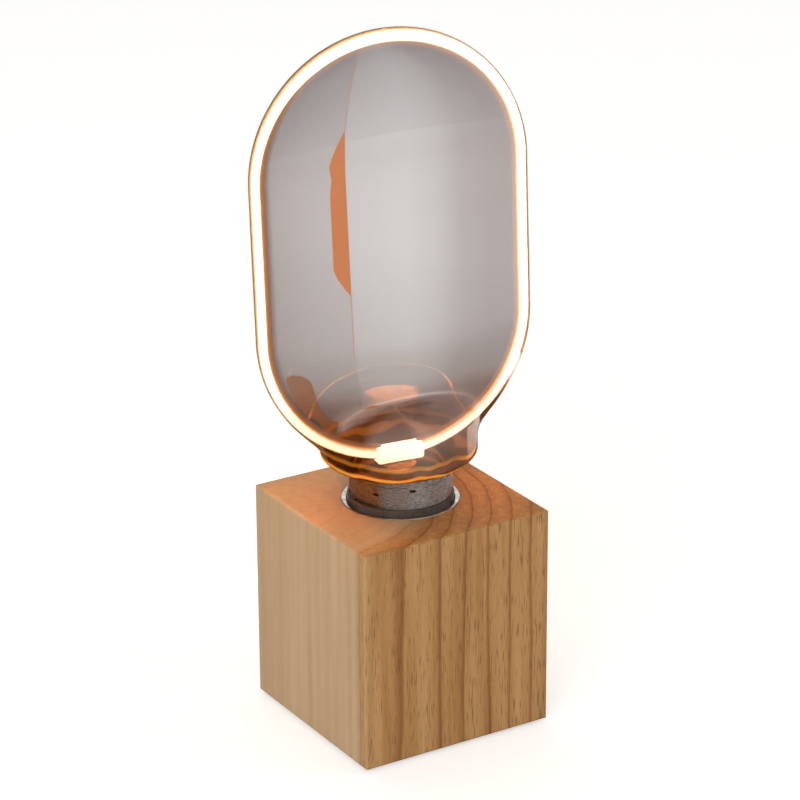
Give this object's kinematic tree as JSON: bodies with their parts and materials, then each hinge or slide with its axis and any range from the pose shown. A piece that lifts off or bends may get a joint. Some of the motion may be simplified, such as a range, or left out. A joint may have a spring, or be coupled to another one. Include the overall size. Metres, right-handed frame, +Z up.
{
  "type": "bare bulb table lamp",
  "caption": "Table lamp: a plain wooden block with a sunken screw lamp holder, and a flat smoked glass bulb lit by a loop of light round its rim.",
  "frame": {"origin": "centre of the underside, on the surface that the lamp stands on", "axes": "+Z up along the axis of the lamp holder; +Y towards the back, where the lead leaves the block; the face seen widest in front is -Y"},
  "size_m": [0.0733, 0.0566, 0.1846],
  "materials": {
    "oiled_oak": "satin",
    "bright_nickel": "polished",
    "cap_nickel": "brushed",
    "zinc_steel": "satin",
    "spring_brass": "satin",
    "black_phenolic": "satin",
    "porcelain": "gloss",
    "cap_cement": "matte",
    "dark_felt": "matte",
    "black_nylon": "satin",
    "smoked_glass": "polished",
    "clear_glass": "polished",
    "amber_silicone": "satin",
    "white_ceramic": "matte",
    "board_laminate": "satin",
    "dark_component": "satin",
    "coil_winding": "gloss",
    "resistor_lacquer": "gloss"
  },
  "bodies": {
    "base": {"wood_block": "oiled_oak", "socket_cup": "bright_nickel", "holder_dome": "black_phenolic", "holder_sleeve": "black_phenolic", "contact_carrier": "porcelain", "screw_shell": "spring_brass", "shell_rivet": "spring_brass", "contact_foot": "spring_brass", "contact_rivet": "spring_brass", "terminal_blocks": "spring_brass", "terminal_screws": "zinc_steel", "threaded_nipple": "zinc_steel", "nipple_washer": "zinc_steel", "nipple_nut": "zinc_steel", "base_cover": "black_nylon", "cover_screws": "zinc_steel", "felt_pads": "dark_felt", "outlet_bush": "black_nylon"},
    "sprung_contact": {"contact_leaf": "spring_brass"},
    "cap_tip": {"cap_insulator": "black_phenolic", "cap_contact": "spring_brass"},
    "bulb": {"cap_shell": "cap_nickel", "cap_cement": "cap_cement", "bulb_glass": "smoked_glass", "glass_stem": "clear_glass", "light_loop": "amber_silicone", "loop_end_block": "white_ceramic", "support_wires": "cap_nickel", "driver_board": "board_laminate", "driver_capacitor": "dark_component", "driver_coil": "coil_winding", "driver_rectifier": "dark_component", "driver_resistor": "resistor_lacquer", "supply_wires": "cap_nickel"}
  },
  "joints": [
    {"name": "bulb_lift", "type": "slide", "parent": "base", "child": "cap_tip", "axis": [0, 0, 1], "range_m": [0, 0.0109]},
    {"name": "bulb_turn", "type": "hinge", "parent": "cap_tip", "child": "bulb", "pos_m": [0, 0, 0.0433], "axis": [0, 0, 1], "range_deg": [0, 1080]},
    {"name": "contact_flex", "type": "hinge", "parent": "base", "child": "sprung_contact", "pos_m": [-0.0062, 0, 0.0423], "axis": [0, 1, 0], "range_deg": [0, 8], "stiffness_Nm_per_rad": 0.05}
  ],
  "couplings": [
    {"joint": "bulb_lift", "follows": "bulb_turn", "m_per_rad": 0.00057757}
  ]
}
